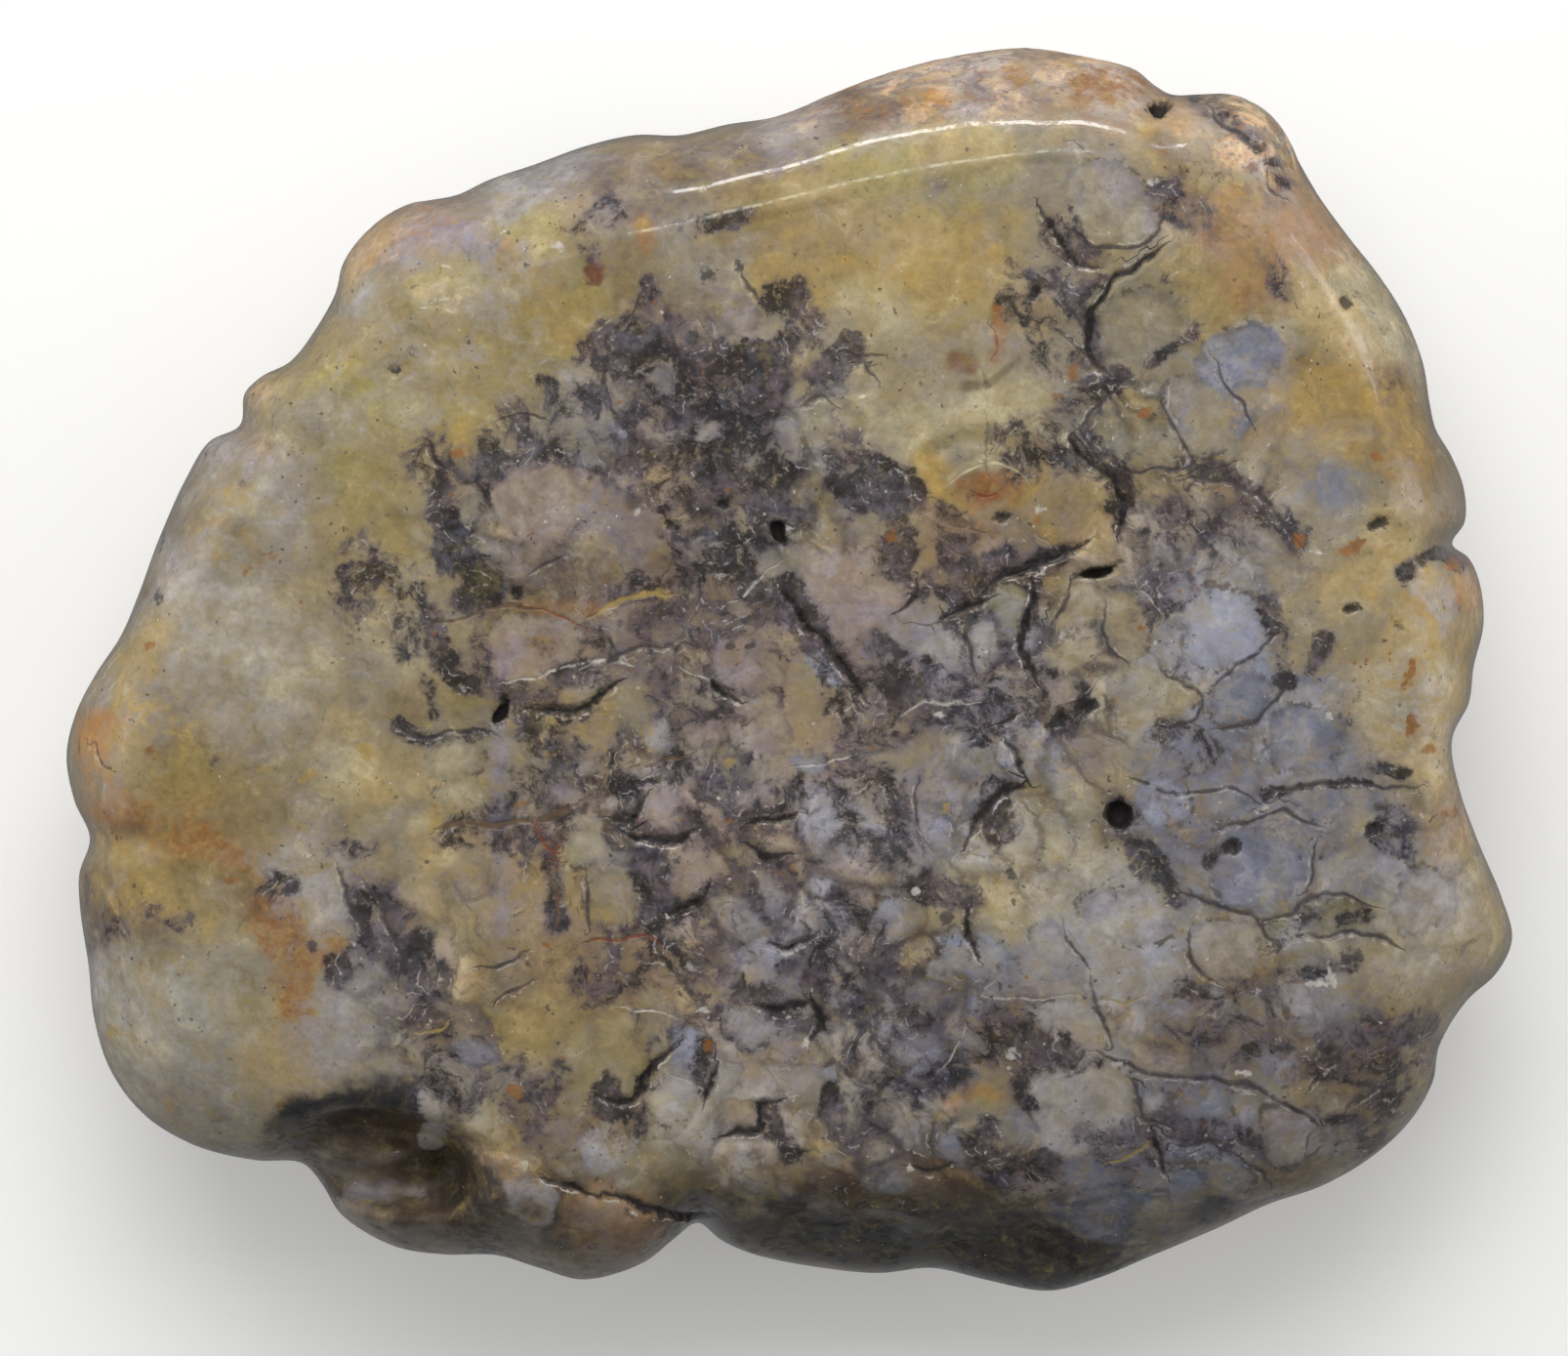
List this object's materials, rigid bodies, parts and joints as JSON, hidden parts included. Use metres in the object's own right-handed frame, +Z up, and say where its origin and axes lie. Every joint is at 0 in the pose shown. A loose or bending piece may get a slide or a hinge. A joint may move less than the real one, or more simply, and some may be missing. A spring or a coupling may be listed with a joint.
{
  "type": "coprolite",
  "caption": "Tumble-polished agatized coprolite: a thick lobed stone nodule with a gently domed glossy face, a rolled edge, pits and cracks, for display on a flat surface.",
  "frame": {"origin": "on the resting surface, at the middle of the stone's plan box", "axes": "+Z up out of the domed face, +X along the longest way of the stone, towards its pointed side, +Y towards its rind-covered crown"},
  "size_m": [0.0679, 0.0586, 0.0198],
  "materials": {
    "agatized_stone": "tumble-polished chalcedony, mottled ochre, grey-lilac and charcoal, glossy"
  },
  "bodies": {
    "root": {"coprolite": "agatized_stone"}
  },
  "joints": []
}
